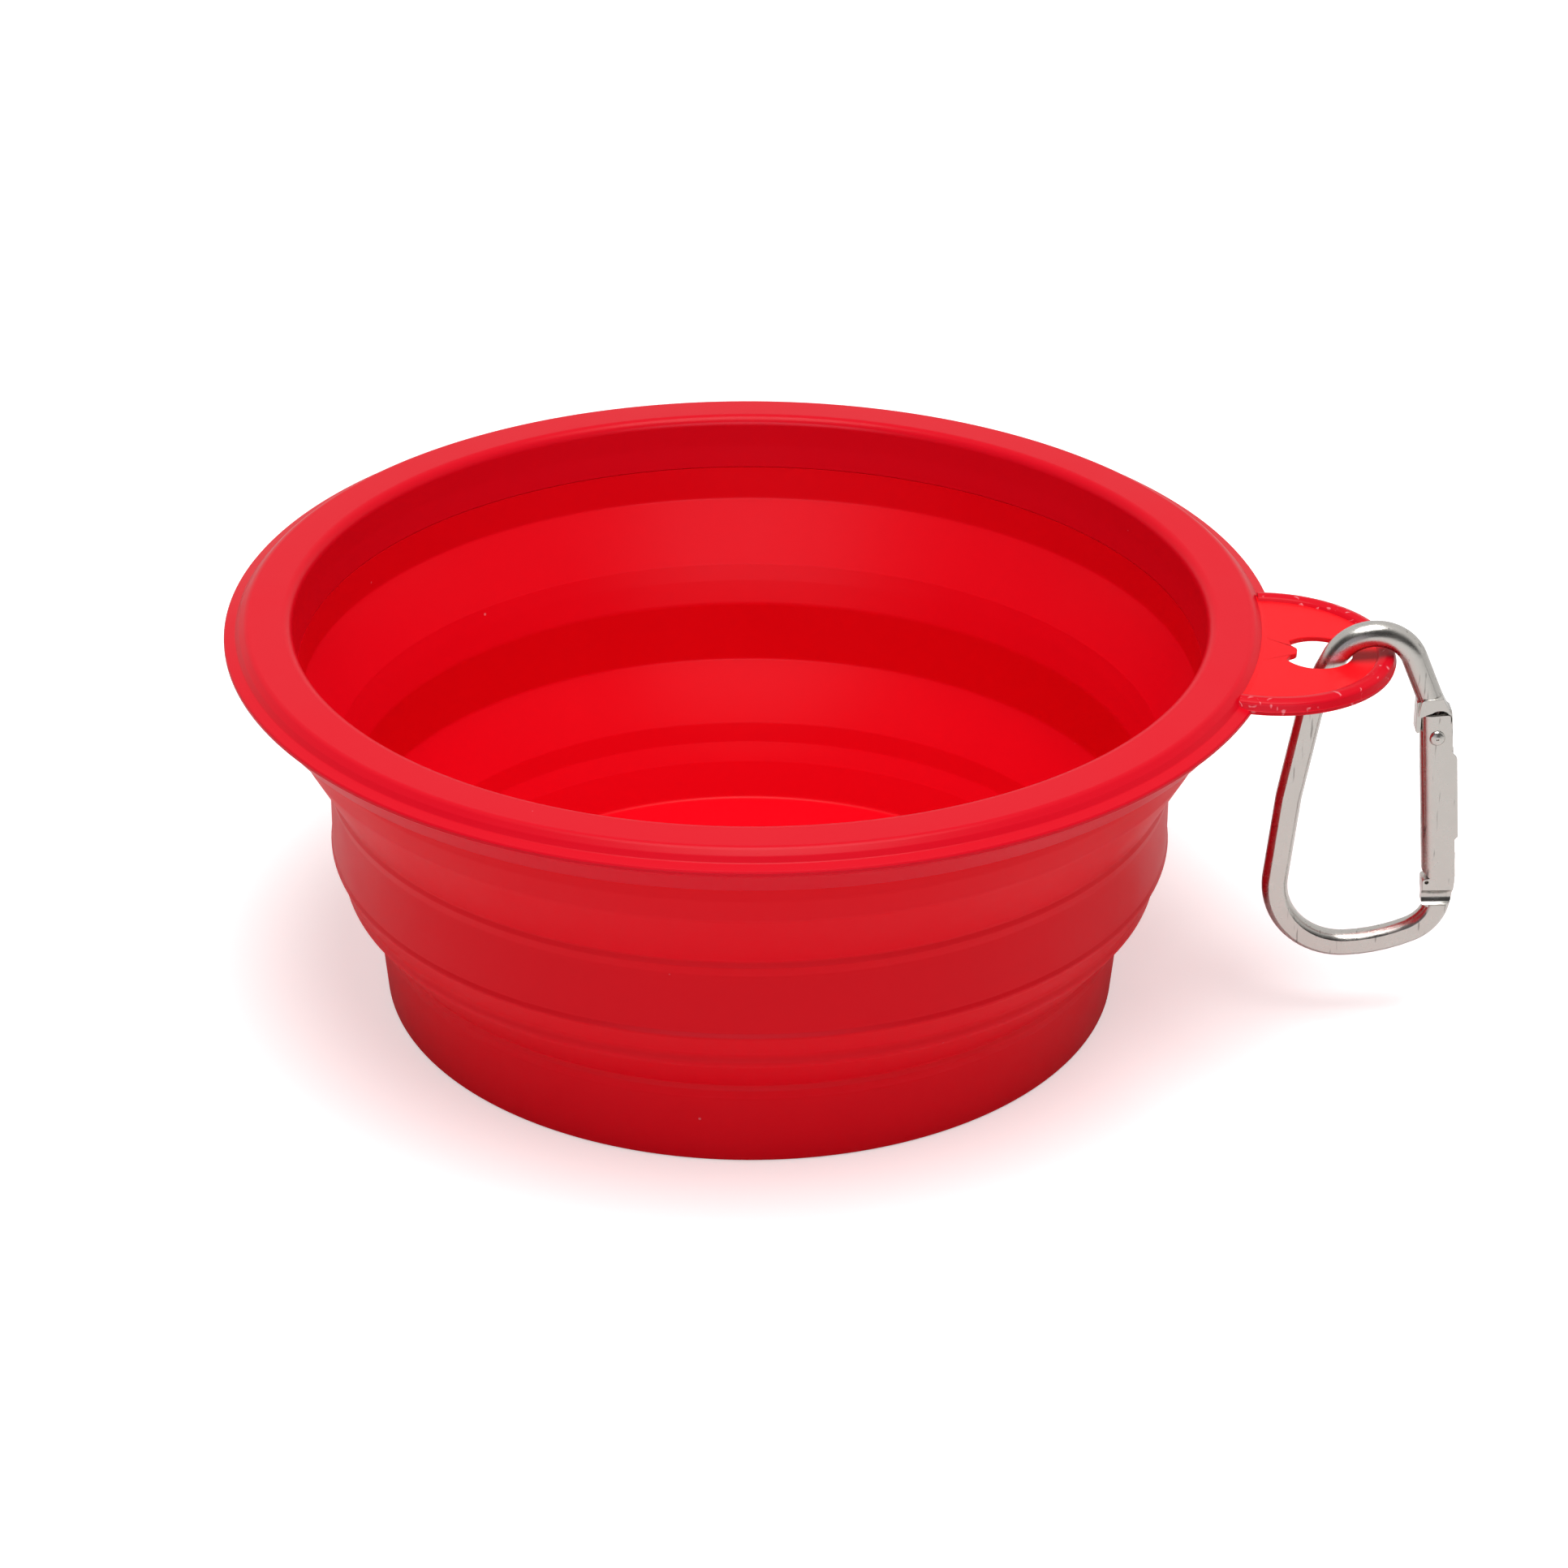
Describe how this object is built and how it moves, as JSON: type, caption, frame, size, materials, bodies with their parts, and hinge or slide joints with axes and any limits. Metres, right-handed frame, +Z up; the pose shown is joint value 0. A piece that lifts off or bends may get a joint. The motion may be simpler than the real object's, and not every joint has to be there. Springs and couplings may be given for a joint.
{
  "type": "collapsible bowl",
  "caption": "Round collapsible silicone travel bowl with a stiff plastic rim, a hanging tab and an aluminium snap-gate carabiner.",
  "frame": {"origin": "centre of the base's flat underside", "axes": "+Z up along the bowl's axis, +X from the bowl's axis out along the hanging tab"},
  "size_m": [0.154, 0.13, 0.056],
  "materials": {
    "silicone": "satin moulded silicone",
    "rim_plastic": "satin moulded plastic",
    "aluminium": "tumbled and brushed",
    "spring_steel": "bare wire"
  },
  "bodies": {
    "rim": {"rim_hoop": "rim_plastic", "upper_ring": "silicone", "upper_fold": "silicone"},
    "middle": {"middle_ring": "silicone", "lower_fold": "silicone"},
    "base": {"base_cup": "silicone"},
    "carabiner": {"carabiner_frame": "aluminium", "gate_rivet": "aluminium"},
    "gate": {"carabiner_gate": "aluminium", "gate_spring": "spring_steel"}
  },
  "joints": [
    {"name": "upper_fold_slide", "type": "slide", "parent": "rim", "child": "middle", "axis": [0, 0, 1], "range_m": [0, 0.0205], "deforming": ["upper_fold"]},
    {"name": "lower_fold_slide", "type": "slide", "parent": "middle", "child": "base", "axis": [0, 0, 1], "range_m": [0, 0.02], "deforming": ["lower_fold"]},
    {"name": "carabiner_swing", "type": "hinge", "parent": "rim", "child": "carabiner", "pos_m": [0.077, 0, 0.0491], "axis": [0.1908, -0.9816, 0], "range_deg": [-22, 180]},
    {"name": "gate_hinge", "type": "hinge", "parent": "carabiner", "child": "gate", "pos_m": [0.08505, 0.00156, 0.0409], "axis": [-0.1908, 0.9816, 0], "range_deg": [0, 35], "stiffness_Nm_per_rad": 0.02, "springref_deg": -20.05}
  ]
}
